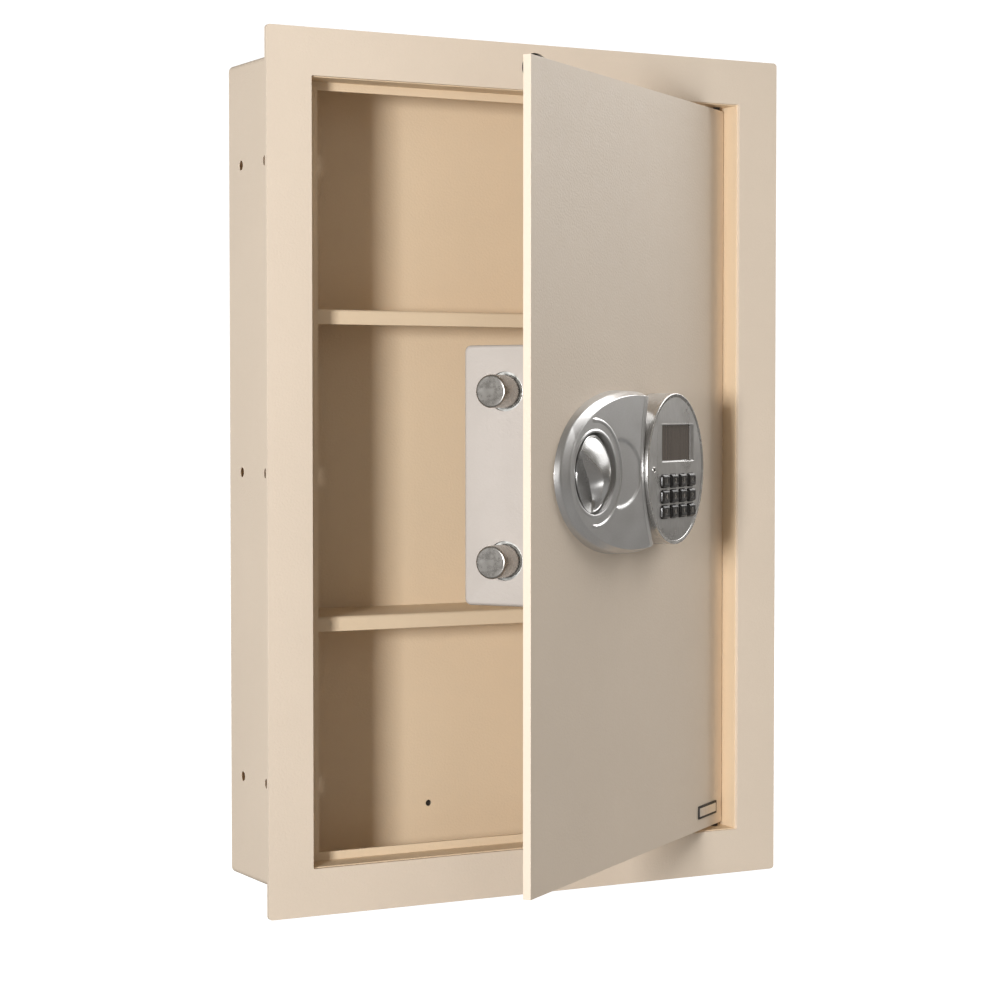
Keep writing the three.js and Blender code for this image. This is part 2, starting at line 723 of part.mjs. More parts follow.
add(door, "door_plate", "cream", doorPlate());
for (const [side, where] of [[1, "upper"], [-1, "lower"]]) {
  add(safe, `hinge_bushing_${where}`, "zinc", hingeBushing(side));
  add(door, `hinge_block_${where}`, "cream", hingeBlock(side));
  add(door, `hinge_pin_${where}`, "steel", hingePin(side));
}
add(door, "nameplate", "steel", nameplate());
add(door, "lock_base", "silver", lockBase());
add(door, "knob", "silver", knob());
add(door, "knob_spindle", "steel", knobSpindle());
add(door, "keypad_housing", "silver", keypadHousing());
add(door, "keypad_rim", "chrome", keypadRim());
add(door, "keypad_face", "silver", keypadFace());
add(door, "lcd_window", "glass", lcdWindow());
add(door, "keypad_board", "board", keypadBoard());
add(door, "status_led", "chrome", statusLed());
for (const { name, at } of keyCentres()) add(door, name, "black", key(at));
add(door, "lock_cover", "cover", lockCover());
coverScrewCentres().forEach((at, i) => add(door, `cover_screw_${i + 1}`, "zinc", coverScrew(at)));
add(door, "bolt_guide", "zinc", boltGuide());
for (const [name, z] of Object.entries(BOLT_HEIGHTS)) add(door, name, "steel", bolt(z));
add(door, "bolt_carriage", "zinc", boltCarriage());
add(door, "drive_cam", "zinc", driveCam());
add(door, "solenoid", "steel", solenoid());
add(door, "solenoid_plunger", "steel", solenoidPlunger());
add(door, "plunger_spring", "steel", plungerSpring());
add(door, "control_board", "board", controlBoard());
add(door, "battery_holder", "black", batteryHolder());
CELL_S.forEach((s, i) => add(door, `battery_${i + 1}`, "cell", batteryCell(s)));

export default safe;
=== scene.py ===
import json
import math

import bmesh
import bpy
from mathutils import Matrix, Vector
from mathutils.geometry import tessellate_polygon

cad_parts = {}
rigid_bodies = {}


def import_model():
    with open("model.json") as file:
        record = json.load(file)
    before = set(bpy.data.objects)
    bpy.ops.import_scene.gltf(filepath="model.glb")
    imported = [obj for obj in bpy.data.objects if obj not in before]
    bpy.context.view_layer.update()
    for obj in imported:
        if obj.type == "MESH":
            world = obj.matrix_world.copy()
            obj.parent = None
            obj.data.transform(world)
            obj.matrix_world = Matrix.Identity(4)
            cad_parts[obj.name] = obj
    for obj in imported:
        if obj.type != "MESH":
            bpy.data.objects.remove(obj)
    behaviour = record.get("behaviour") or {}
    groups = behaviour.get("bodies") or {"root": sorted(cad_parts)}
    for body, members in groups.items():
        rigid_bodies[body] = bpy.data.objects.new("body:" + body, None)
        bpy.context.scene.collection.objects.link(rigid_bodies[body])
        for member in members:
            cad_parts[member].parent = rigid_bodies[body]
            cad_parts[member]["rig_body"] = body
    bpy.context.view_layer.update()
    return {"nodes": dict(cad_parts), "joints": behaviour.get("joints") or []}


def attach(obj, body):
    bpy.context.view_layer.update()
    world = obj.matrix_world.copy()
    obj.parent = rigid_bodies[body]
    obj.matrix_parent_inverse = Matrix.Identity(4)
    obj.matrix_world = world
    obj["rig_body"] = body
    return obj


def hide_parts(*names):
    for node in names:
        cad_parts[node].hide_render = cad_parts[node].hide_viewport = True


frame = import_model()

MM = 0.001
TAU = 2 * math.pi
JOINTS = {j["name"]: j for j in frame["joints"]}

# ---- Frames of reference: local x runs along, y runs up, z comes out towards the room ----


def placed(origin, x, y, z):
    matrix = Matrix((x, y, z)).transposed().to_4x4()
    matrix.translation = origin
    return matrix


UP = Vector((0, 0, 1))
OUT = Vector(JOINTS["knob_turn"]["axis"]).normalized()
ALONG = UP.cross(OUT)
PIVOT = Vector(JOINTS["door_swing"]["pos_m"])
PIVOT_S, PIVOT_DEPTH = 312.8, 3.6
DOOR = placed(PIVOT - ALONG * PIVOT_S * MM + OUT * PIVOT_DEPTH * MM, ALONG, UP, OUT)
WALL = placed(Vector((0, 0, 0)), Vector((1, 0, 0)), UP, Vector((0, -1, 0)))

# ---- Sizes in millimetres ----
# On the wall, x and height are from the middle of the box and depth is from the wall's face.
# On the door, s is from the free edge, z from mid height, heights and depths from the front face.
BODY_W, BODY_H, BODY_D, SHEET, BODY_R = 355.6, 533.4, 92.5, 2.0, 4.0
FLANGE_W, FLANGE_H, FLANGE_T, FLANGE_R = 384.0, 562.0, 3.0, 2.5
OPENING_W, OPENING_H = 322.4, 501.8
SIDE_HOLES = [(depth, height) for depth in (33.5, 72.5) for height in (-200, 0, 200)]
SIDE_HOLE_R, SIDE_HOLE_FLARE = 3.2, 2.4
BACK_HOLE, BACK_HOLE_R = (-32, -231), 2.2
PLUG_AT, PLUG_R = (0, 265.6), 10.0
SHELF_TOPS = {"shelf_upper": 105.5, "shelf_lower": -93.0}
SHELF_LENGTH = 350.0
DOOR_W, DOOR_H, DOOR_T = 317.4, 495.8, 5.0
HINGES = (("upper", 1), ("lower", -1))
HINGE_S, HINGE_Z, HINGE_DEPTH = 12.6, 24.0, 9.6
PIN_R, PIN_END, PIN_START = 2.5, 259.3, 2.0
BUSHING_RADII, BUSHING_Z = (2.6, 7.0), (252.3, 260.3)
PLATE_AT, PLATE_BORDER, PLATE_FIELD = (289, -235.6), (34, 9, 0.9), (30.6, 5.8, 0.5)
SPINDLE_HOLE_R, WIRE_HOLE_R = 4.6, 7.0
KNOB = Vector((74.9, 1.9))
KNOB_R, KNOB_RIM, KNOB_PEAK, KNOB_FOOT = 23.8, 7.3, 13.8, 3.4
KEYPAD = Vector((187.5, 2.5))
KEYPAD_R, KEYPAD_H, KEYPAD_WALL = 49.0, 14.5, 2.2
FACE_R, FACE_LOW, FACE_TOP = 46.3, 14.7, 16.6
BASE, BASE_RADII = Vector((129.5, 1.5)), (97.0, 51.6)
LINE_RADII, BASE_GAP, BASE_FOOT = (85.0, 48.4), 0.4, 0.05
DISH_R, DISH_FLOOR = 25.2, 3.0
LCD_AT, LCD_OUTER, LCD_INNER, LCD_PANE = (191.3, 19.4), (55.8, 24.9), (51.6, 22.9), (55, 26.6)
SEAM_S, SEAM_HALF = 156.0, 0.12
LED_AT = (150.0, 2.6)
KEY_ROWS = (
    ("key_1", "key_2", "key_3", "key_left"),
    ("key_4", "key_5", "key_6", "key_right"),
    ("key_7", "key_8", "key_9", "key_0"),
)
KEY_FIRST, KEY_PITCH, KEY_SIZE = (168.1, -5.1), (15.15, 9.9), (12.0, 8.3)
KEY_GAP, KEY_HOLE_R, KEY_R, KEY_MARK_H = 0.35, 1.9, 1.5, 18.46
COVER_S, COVER_D, COVER_Z, COVER_T, COVER_R = (38, 236), (5.2, 62.5), (-78.3, 80), 1.5, 4.0
SCREW_INSET, SCREW_HOLE_R = 14, 1.7
BOLTS = {"bolt_upper": 51.9, "bolt_lower": -50.6}
BOLT_D, BOLT_R, BOLT_HOLE_R, BOLT_S = 35.0, 10.0, 12.0, (18.0, 65.7)
CELLS, CELL_D, CELL_Z0, CELL_LENGTH, CELL_R = (165, 181, 197, 213), 19.0, -26.0, 50.5, 7.25

# The lock's face is FACE_START high at FACE_START_S and rises along s by FACE_TILT, up to a curved
# crease. Past it a strip falls away to the keypad, gently and then with the cube of the distance.
FACE_TILT, FACE_START_S, FACE_START = 0.1096, 44.6, 5.2
CREASE_S, CREASE_LEAN, CREASE_BOW = 133.55, 0.0802, 0.003733
STRIP_FALL, STRIP_ROLL, STRIP_LOWEST = 0.06, 0.0013, 6.0
# The sunk half-moon is the part of an oval that lies outside a circle about the knob. MOON_NEAR and
# MOON_RIM are where its walls start and end: a radius about the knob, a share of the oval's radii.
MOON_AT, MOON_RADII, MOON_DEPTH = (104.9, 1.3), (28.5, 21.3), 0.75
MOON_NEAR, MOON_RIM = (34.2, 35.0), (1.0, 0.965)
# Raised lines, with their half widths and heights: the bead and the collar about the knob, the ridge
# along the crease, and the line round the plate, whose place and half width are shares of the shoulder
BEAD_R, BEAD_HALF, BEAD_H, BEAD_ENDS = 32.6, 1.15, 0.85, (97, 90)
COLLAR_R, COLLAR_HALF, COLLAR_H = 26.0, 1.0, 0.5
RIDGE_HALF, RIDGE_H = 0.9, 0.25
LINE_SHARE, LINE_HALF, LINE_H = 0.93, 0.07, 0.3
# Share of the face's height across the shoulder, from its foot to the raised line
SHOULDER = ((0, 0), (0.04, 0.16), (0.15, 0.55), (0.18, 0.59), (0.24, 0.63), (0.88, 0.94), (1, 1))

# The thumb's hollow in the dome, about the knob's centre: its upper edge, and its crease with heights
TOP_R = 22.4
SCOOP_EDGE = (
    (-18.6, 16.6), (-15.6, 12.2), (-12.4, 9.4), (-6.9, 5.4), (-2.7, 2.1), (0.5, -3.0),
    (1.3, -8.75), (2.7, -14.0), (4.3, -19.0), (5.6, -24.5),
)
SCOOP_CREASE = (
    (-18.8, 16.2, 7.9), (-15.9, 11.0, 6.9), (-13.6, 8.0, 6.2), (-9.2, 3.4, 5.6), (-5.0, -0.6, 5.3),
    (-2.0, -4.9, 5.3), (-0.5, -9.6, 5.6), (0.6, -14.2, 6.1), (0.4, -19.2, 6.8), (-0.6, -24.5, 7.9),
)
# The hollow's floor runs from the crease out past the knob, to this radius, angles and height
SCOOP_OUTSIDE, SCOOP_TURN, SCOOP_LIP = 29, (139, 266), 8.6

# Meshes: how close points are merged, in millimetres or in metres, and what is flat, in degrees
WELD, WELD_METRES, FLAT_ANGLE, CAD_FLAT_ANGLE = 1e-4, 2e-6, 0.4, 0.5

# Studio: metres, watts, degrees
FLOOR_Z, FLOOR_HALF = -0.2815, 6
WORLD_LIGHT, WORLD_SEEN = 0.225, 1.1
CAMERA_AT, CAMERA_LENS = (-0.81770, -1.46172, 0.04088), 90.93
CAMERA_DOWN, CAMERA_TURN = 2.0479, -28.4736

# ---- Materials ----


def linear(r, g, b):
    def channel(value):
        c = value / 255
        return c / 12.92 if c <= 0.04045 else ((c + 0.055) / 1.055) ** 2.4

    return (channel(r), channel(g), channel(b), 1.0)


class Surface:
    """A principled material that is built up from noise, bump and ramp nodes."""

    def __init__(self, name, colour, roughness, metallic=0.0):
        self.material = bpy.data.materials.new(name)
        self.material.use_nodes = True
        self.nodes = self.material.node_tree.nodes
        self.links = self.material.node_tree.links
        self.shader = self.nodes["Principled BSDF"]
        self.shader.inputs["Base Color"].default_value = colour
        self.shader.inputs["Roughness"].default_value = roughness
        self.shader.inputs["Metallic"].default_value = metallic
        self.coordinates = self.nodes.new("ShaderNodeTexCoord")
        self.normal = None

    def texture(self, kind, scale, stretch=(1, 1, 1)):
        node = self.nodes.new(kind)
        mapping = self.nodes.new("ShaderNodeMapping")
        mapping.inputs["Scale"].default_value = stretch
        node.inputs["Scale"].default_value = scale
        self.links.new(self.coordinates.outputs["Object"], mapping.inputs["Vector"])
        self.links.new(mapping.outputs["Vector"], node.inputs["Vector"])
        return node

    def noise(self, scale, detail=3.0, rough=0.5, stretch=(1, 1, 1)):
        node = self.texture("ShaderNodeTexNoise", scale, stretch)
        node.inputs["Detail"].default_value = detail
        node.inputs["Roughness"].default_value = rough
        return node.outputs["Fac"]

    def cells(self, scale):
        return self.texture("ShaderNodeTexVoronoi", scale).outputs["Distance"]

    def waves(self, scale, distortion):
        node = self.texture("ShaderNodeTexWave", scale)
        node.inputs["Distortion"].default_value = distortion
        node.inputs["Detail"].default_value = 1.0
        return node

    def rings(self, scale, distortion):
        node = self.waves(scale, distortion)
        node.wave_type = "RINGS"
        node.rings_direction = "Z"
        return node.outputs["Fac"]

    def bands(self, scale, distortion):
        node = self.waves(scale, distortion)
        node.wave_type = "BANDS"
        node.bands_direction = "DIAGONAL"
        return node.outputs["Fac"]

    def tint(self, value, first, second, start=0.3, end=0.7):
        node = self.nodes.new("ShaderNodeValToRGB")
        stops = ((start, first), (end, second))
        for element, (position, colour) in zip(node.color_ramp.elements, stops):
            element.position = position
            element.color = colour
        self.links.new(value, node.inputs["Fac"])
        self.links.new(node.outputs["Color"], self.shader.inputs["Base Color"])

    def gloss(self, value, low, high, start=0.3, end=0.7):
        node = self.nodes.new("ShaderNodeMapRange")
        node.inputs["From Min"].default_value = start
        node.inputs["From Max"].default_value = end
        node.inputs["To Min"].default_value = low
        node.inputs["To Max"].default_value = high
        self.links.new(value, node.inputs["Value"])
        self.links.new(node.outputs["Result"], self.shader.inputs["Roughness"])

    def bump(self, value, height, strength):
        node = self.nodes.new("ShaderNodeBump")
        node.inputs["Distance"].default_value = height
        node.inputs["Strength"].default_value = strength
        self.links.new(value, node.inputs["Height"])
        if self.normal is not None:
            self.links.new(self.normal, node.inputs["Normal"])
        self.normal = node.outputs["Normal"]
        self.links.new(self.normal, self.shader.inputs["Normal"])


def shade(colour, *factors):
    """The colour times one factor, or times a factor each for red, green and blue."""
    if len(factors) == 1:
        factors *= 3
    return tuple(c * f for c, f in zip(colour, factors)) + (1.0,)


def powder_coat(name, colour, roughness=0.46):
    s = Surface(name, colour, roughness)
    s.shader.inputs["Specular IOR Level"].default_value = 0.42
    s.tint(s.noise(9, 4, 0.55), shade(colour, 0.975), shade(colour, 1.015))
    s.gloss(s.noise(130, 3), roughness - 0.06, roughness + 0.07)
    s.bump(s.noise(620, 2.5, 0.5), 0.00022, 0.75)
    s.bump(s.noise(2400, 2, 0.5), 0.00005, 0.25)
    return s.material


def make_materials():
    made = {}
    cream = linear(232, 216, 197)
    made["cream"] = powder_coat("cream_powder_coat", cream)
    # The inside's cream is the same coat made darker and browner: painted shade for the light that
    # bounces about inside the box.
    made["inner"] = powder_coat("cream_powder_coat_painted_inside_shade", shade(cream, 0.98, 0.92, 0.80))
    made["cover"] = powder_coat("grey_white_paint", linear(187, 179, 172), 0.42)

    s = Surface("silver_cast", (0.60, 0.591, 0.582, 1), 0.33, 0.92)
    s.tint(s.noise(2600, 2), (0.54, 0.532, 0.524, 1), (0.65, 0.641, 0.632, 1))
    s.gloss(s.noise(90, 4), 0.31, 0.36)
    s.bump(s.noise(1900, 3), 0.00003, 0.35)
    made["silver"] = s.material

    s = Surface("silver_satin", (0.60, 0.588, 0.575, 1), 0.3, 0.9)
    s.tint(s.noise(1400, 3, stretch=(1, 0.12, 1)), (0.55, 0.539, 0.527, 1), (0.65, 0.637, 0.623, 1))
    s.gloss(s.noise(60, 3), 0.26, 0.35)
    s.bump(s.noise(2200, 2), 0.00002, 0.3)
    made["satin"] = s.material

    s = Surface("silver_polished", (0.54, 0.532, 0.522, 1), 0.24, 1.0)
    s.tint(s.noise(1500, 2), (0.48, 0.473, 0.464, 1), (0.58, 0.572, 0.561, 1))
    s.gloss(s.noise(120, 4), 0.21, 0.28)
    s.bump(s.noise(900, 3), 0.00002, 0.25)
    made["knob"] = s.material

    s = Surface("silver_ring", (0.66, 0.65, 0.635, 1), 0.24, 1.0)
    s.tint(s.noise(900, 3), (0.60, 0.59, 0.575, 1), (0.70, 0.69, 0.675, 1))
    s.gloss(s.noise(200, 3), 0.2, 0.3)
    s.bump(s.noise(1200, 3), 0.00002, 0.3)
    made["ring"] = s.material

    s = Surface("bright_chrome", (0.86, 0.84, 0.80, 1), 0.09, 1.0)
    s.tint(s.noise(40, 3), (0.82, 0.80, 0.765, 1), (0.90, 0.88, 0.845, 1))
    s.gloss(s.noise(220, 4), 0.06, 0.14)
    s.bump(s.noise(160, 2), 0.00002, 0.2)
    made["chrome"] = s.material

    s = Surface("ground_steel", (0.46, 0.44, 0.415, 1), 0.28, 1.0)
    s.tint(s.noise(60, 4), (0.42, 0.40, 0.375, 1), (0.50, 0.48, 0.455, 1))
    s.gloss(s.noise(300, 3), 0.24, 0.33)
    s.bump(s.rings(520, 0.6), 0.00002, 0.35)
    made["steel"] = s.material

    s = Surface("zinc_plate", (0.60, 0.60, 0.58, 1), 0.38, 1.0)
    s.tint(s.noise(180, 4), (0.50, 0.50, 0.475, 1), (0.68, 0.68, 0.66, 1))
    s.gloss(s.cells(260), 0.3, 0.46, 0.1, 0.6)
    s.bump(s.noise(900, 3), 0.00003, 0.3)
    made["zinc"] = s.material

    s = Surface("black_plastic", (0.016, 0.014, 0.012, 1), 0.42)
    s.tint(s.noise(70, 3), (0.012, 0.011, 0.010, 1), (0.021, 0.019, 0.017, 1))
    s.gloss(s.noise(250, 3), 0.36, 0.5)
    s.bump(s.noise(2600, 2), 0.00004, 0.4)
    made["black"] = s.material

    s = Surface("key_plastic", (0.014, 0.012, 0.010, 1), 0.3)
    s.tint(s.noise(160, 3), (0.010, 0.009, 0.008, 1), (0.020, 0.017, 0.015, 1))
    s.gloss(s.noise(420, 3), 0.24, 0.36)
    s.bump(s.noise(3200, 2), 0.00002, 0.3)
    made["key"] = s.material

    s = Surface("key_ink", linear(150, 142, 132), 0.5)
    s.tint(s.noise(1800, 2), linear(130, 122, 112), linear(168, 160, 150))
    made["ink"] = s.material

    s = Surface("display_glass", linear(95, 85, 78), 0.16)
    s.tint(s.noise(420, 2, stretch=(1, 0.02, 1)), linear(86, 76, 69), linear(101, 91, 83))
    s.gloss(s.noise(80, 3), 0.12, 0.2)
    s.shader.inputs["Coat Weight"].default_value = 0.4
    s.shader.inputs["Coat Roughness"].default_value = 0.08
    made["glass"] = s.material

    s = Surface("circuit_board", (0.012, 0.085, 0.032, 1), 0.45)
    tracks = s.bands(190, 6.0)
    s.tint(tracks, (0.010, 0.070, 0.026, 1), (0.022, 0.130, 0.050, 1), 0.44, 0.52)
    s.gloss(s.noise(300, 2), 0.36, 0.5)
    s.bump(tracks, 0.00003, 0.5)
    made["board"] = s.material

    s = Surface("cell_sleeve", (0.04, 0.06, 0.10, 1), 0.3)
    s.tint(s.noise(60, 3), (0.035, 0.052, 0.088, 1), (0.05, 0.072, 0.118, 1))
    s.gloss(s.noise(200, 3), 0.24, 0.34)
    s.bump(s.noise(500, 2), 0.00002, 0.3)
    made["cell"] = s.material

    s = Surface("copper_sleeve", (0.52, 0.25, 0.12, 1), 0.28, 0.8)
    s.tint(s.noise(90, 3), (0.46, 0.21, 0.10, 1), (0.58, 0.29, 0.14, 1))
    s.gloss(s.noise(200, 3), 0.22, 0.34)
    made["copper"] = s.material

    # Near black, for the dark parts and for the painted shade in the back sheet's hole.
    s = Surface("dark_finish_and_hole_shade", (0.02, 0.016, 0.012, 1), 0.6)
    s.tint(s.noise(400, 2), (0.016, 0.013, 0.010, 1), (0.026, 0.021, 0.016, 1))
    s.bump(s.noise(1500, 2), 0.00003, 0.4)
    made["dark"] = s.material
    return made


MATERIAL = make_materials()


# ---- Building pieces ----


def link(name, data, matrix=None):
    obj = bpy.data.objects.new(name, data)
    bpy.context.scene.collection.objects.link(obj)
    if matrix is not None:
        obj.matrix_world = matrix
    return obj


def add_edge(obj, width, segments=3):
    bevel = obj.modifiers.new("edge", "BEVEL")
    bevel.width = width * MM
    bevel.segments = segments
    bevel.limit_method = "ANGLE"
    bevel.angle_limit = math.radians(30)
    bevel.harden_normals = True
    bevel.miter_outer = "MITER_ARC"


def evaluated_mesh(obj):
    bpy.context.view_layer.update()
    return bpy.data.meshes.new_from_object(
        obj.evaluated_get(bpy.context.evaluated_depsgraph_get())
    )


def dress(obj, finish, body, nodes=(), edge=0.0, sharp=34):
    """Gives the object its material, eased edges, the body it rides on and the nodes it replaces."""
    mesh = obj.data
    mesh.polygons.foreach_set("use_smooth", [True] * len(mesh.polygons))
    mesh.set_sharp_from_angle(angle=math.radians(sharp))
    mesh.materials.clear()
    mesh.materials.append(MATERIAL[finish])
    if edge:
        add_edge(obj, edge)
    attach(obj, body)
    if nodes:
        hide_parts(*nodes)


def mesh_from(name, bm):
    bmesh.ops.remove_doubles(bm, verts=bm.verts, dist=WELD)
    bmesh.ops.recalc_face_normals(bm, faces=bm.faces)
    mesh = bpy.data.meshes.new(name)
    bm.to_mesh(mesh)
    bm.free()
    mesh.transform(Matrix.Scale(MM, 4))
    return mesh


def piece(name, bm, place, finish, body, nodes=(), edge=0.0, sharp=34):
    dress(link(name, mesh_from(name, bm), place), finish, body, nodes, edge, sharp)


def circle(x, y, r, count=48):
    angles = [TAU * i / count for i in range(count)]
    return [(x + r * math.cos(a), y + r * math.sin(a)) for a in angles]


def rounded(x, y, width, height, r, arc=8):
    points = []
    for i, (sx, sy) in enumerate([(1, 1), (-1, 1), (-1, -1), (1, -1)]):
        cx, cy = x + sx * (width / 2 - r), y + sy * (height / 2 - r)
        for k in range(arc + 1):
            a = math.pi / 2 * (i + k / arc)
            points.append((cx + r * math.cos(a), cy + r * math.sin(a)))
    return points


def at_height(loop, h):
    return [(x, y, h) for x, y in loop]


def dissolve_flat(bm, degrees):
    bmesh.ops.dissolve_limit(
        bm, angle_limit=math.radians(degrees), verts=bm.verts[:], edges=bm.edges[:]
    )


def slab(loops, low, high):
    """Closed plate between two heights: the first loop is the outline and the rest are holes."""
    bm = bmesh.new()
    flat = [point for loop in loops for point in loop]
    top = [bm.verts.new((x, y, high)) for x, y in flat]
    foot = [bm.verts.new((x, y, low)) for x, y in flat]
    for tri in tessellate_polygon([[Vector((x, y, 0)) for x, y in loop] for loop in loops]):
        bm.faces.new([top[i] for i in tri])
        bm.faces.new([foot[i] for i in reversed(tri)])
    start = 0
    for loop in loops:
        for i in range(len(loop)):
            a, b = start + i, start + (i + 1) % len(loop)
            bm.faces.new((top[a], top[b], foot[b], foot[a]))
        start += len(loop)
    bmesh.ops.recalc_face_normals(bm, faces=bm.faces)
    dissolve_flat(bm, FLAT_ANGLE)
    return bm


def stack(rings, loop=False):
    """Skin over rings of points of equal count, capped at both ends or closed into a loop."""
    bm = bmesh.new()
    rows = [[bm.verts.new(p) for p in ring] for ring in rings]
    pairs = list(zip(rows, rows[1:])) + ([(rows[-1], rows[0])] if loop else [])
    for low, high in pairs:
        for i in range(len(low)):
            j = (i + 1) % len(low)
            bm.faces.new((low[i], low[j], high[j], high[i]))
    if not loop:
        bm.faces.new(list(reversed(rows[0])))
        bm.faces.new(rows[-1])
    return bm


def lathe(profile, centre=(0, 0), count=72, loop=False):
    """Turned form about local z; a profile that starts or ends on the axis gets a small cap there."""
    return stack([at_height(circle(*centre, max(r, 0.02), count), h) for r, h in profile], loop)


def cut(obj, cutters):
    """Takes the cutters out of the object's mesh for good."""
    for bm in cutters:
        tool = link("tool", mesh_from("tool", bm), obj.matrix_world.copy())
        step = obj.modifiers.new("cut", "BOOLEAN")
        step.object = tool
        step.solver = "EXACT"
        made = evaluated_mesh(obj)
        obj.modifiers.clear()
        obj.data = made
        bpy.data.objects.remove(tool)
    bm = bmesh.new()
    bm.from_mesh(obj.data)
    bmesh.ops.remove_doubles(bm, verts=bm.verts, dist=WELD_METRES)
    dissolve_flat(bm, FLAT_ANGLE)
    bm.to_mesh(obj.data)
    bm.free()


def softened(node, finish, edge=0.3):
    """The CAD node's own form with its edges eased."""
    bm = bmesh.new()
    bm.from_mesh(frame["nodes"][node].data)
    bmesh.ops.remove_doubles(bm, verts=bm.verts, dist=WELD_METRES)
    dissolve_flat(bm, CAD_FLAT_ANGLE)
    mesh = bpy.data.meshes.new(node + "_eased")
    bm.to_mesh(mesh)
    bm.free()
    dress(link(node + "_eased", mesh), finish, frame["nodes"][node]["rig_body"], [node], edge)


def tilted(place, along, up, out, origin=(0, 0, 0)):
    """A frame inside another frame, its axes and origin given in that frame, in millimetres."""
    local = placed(Vector(origin) * MM, Vector(along), Vector(up), Vector(out))
    return place @ local


# ---- Box ----


def side_hole_cutter(depth, height):
    """Runs across the whole box, and is wider inside each side, which then looks like thin sheet."""
    face, wide = BODY_W / 2, SIDE_HOLE_R + SIDE_HOLE_FLARE
    steps = [(face + 2, SIDE_HOLE_R), (face - 0.5, SIDE_HOLE_R), (face - SHEET - 0.2, wide)]
    steps = [(-x, r) for x, r in steps] + steps[::-1]
    return stack([[(x, height + b, a - depth) for a, b in circle(0, 0, r, 40)] for x, r in steps])


def build_box():
    tube = slab(
        [
            rounded(0, 0, BODY_W, BODY_H, BODY_R),
            rounded(0, 0, BODY_W - 2 * SHEET, BODY_H - 2 * SHEET, BODY_R - SHEET),
        ],
        -BODY_D,
        0,
    )
    shell = link("box_sides", mesh_from("box_sides", tube), WALL)
    cut(shell, [side_hole_cutter(depth, height) for depth, height in SIDE_HOLES])
    dress(shell, "cream", "frame", ["body_shell"], 0.35)

    fit = 2 * SHEET + 0.2
    plate = slab(
        [rounded(0, 0, BODY_W - fit, BODY_H - fit, 2), circle(*BACK_HOLE, BACK_HOLE_R, 32)],
        -BODY_D,
        -BODY_D + SHEET,
    )
    piece("back_sheet", plate, WALL, "inner", "frame", ["back_panel"], 0.25)

    flange = slab(
        [
            rounded(0, 0, FLANGE_W, FLANGE_H, FLANGE_R, 10),
            rounded(0, 0, OPENING_W, OPENING_H, 1.0, 6),
            circle(*PLUG_AT, PLUG_R, 64),
        ],
        0,
        FLANGE_T,
    )
    piece("trim_flange", flange, WALL, "cream", "frame", ["front_flange"], 1.1)

    plug = [(0, 0), (9.9, 0), (9.9, 1.5), (9.5, 2.1), (8.4, 2.35), (7.9, 2.0), (4, 1.9), (0, 1.85)]
    piece("hole_plug", lathe(plug, PLUG_AT), WALL, "black", "frame", ["flange_hole_plug"])
    # A near-black disc inside the back sheet's hole: painted shade, so the hole looks dark rather than
    # open.
    hole_shade = [(0, 0.3), (2.1, 0.3), (2.15, 0.9), (1.5, 1.2), (1.2, 0.9), (0, 0.8)]
    hole_shade = [(r, h - BODY_D) for r, h in hole_shade]
    piece("back_hole_painted_shade", lathe(hole_shade, BACK_HOLE, 32), WALL, "dark", "frame")

    softened("jamb_frame", "inner", 0.45)
    softened("bolt_keeper", "zinc", 0.5)
    for name, top in SHELF_TOPS.items():
        build_shelf(name, top)
        for side in ("left", "right"):
            softened(f"{name}_bracket_{side}", "inner", 0.4)
    build_bushings()


def build_bushings():
    upright = placed(PIVOT.xy.to_3d(), Vector((1, 0, 0)), Vector((0, 1, 0)), UP)
    (bore, r), edge = BUSHING_RADII, 0.6
    for where, side in HINGES:
        low, high = sorted(side * z for z in BUSHING_Z)
        ring = [
            (bore, low), (r - edge, low), (r, low + edge),
            (r, high - edge), (r - edge, high), (bore, high),
        ]
        piece(
            f"pivot_bushing_{where}", lathe(ring, loop=True), upright, "zinc", "frame",
            [f"hinge_bushing_{where}"],
        )


def bend(cx, cy, r, start, end, count=6):
    step = (end - start) / count
    return [
        (cx + r * math.cos(start + step * k), cy + r * math.sin(start + step * k))
        for k in range(count + 1)
    ]


def build_shelf(name, top):
    """Sheet with a rounded fold and a lip that hangs down in front."""
    front, back, thick, lip, r = 23.5, 90.0, 1.5, 9.6, 2.2
    outer = bend(-front - r, top - r, r, 0, math.pi / 2)
    inner = bend(-front - r, top - r, r - thick, math.pi / 2, 0)
    section = [(-front, top - lip)] + outer + [(-back, top), (-back, top - thick)]
    section += inner + [(-front - thick, top - lip)]
    across = tilted(WALL, (0, 0, 1), (0, 1, 0), (-1, 0, 0))
    sheet = slab([section], -SHELF_LENGTH / 2, SHELF_LENGTH / 2)
    piece(name + "_sheet", sheet, across, "inner", "frame", [name], 0.3)


# ---- Door ----


def build_door():
    half = DOOR_H / 2
    outline = [(0, -half), (DOOR_W, -half), (DOOR_W, half), (0, half)]
    loops = [outline, circle(*KNOB, SPINDLE_HOLE_R, 32), circle(*KEYPAD, WIRE_HOLE_R, 32)]
    piece("door_leaf", slab(loops, -DOOR_T, 0), DOOR, "cream", "door", ["door_plate"], 0.7)
    for where, side in HINGES:
        build_pivot(where, side)
    border = slab([rounded(*PLATE_AT, *PLATE_BORDER)], 0, 0.8)
    piece("plate_border", border, DOOR, "dark", "door", ["nameplate"], 0.2)
    field = slab([rounded(*PLATE_AT, *PLATE_FIELD)], 0.7, 0.95)
    piece("plate_field", field, DOOR, "satin", "door", (), 0.08)


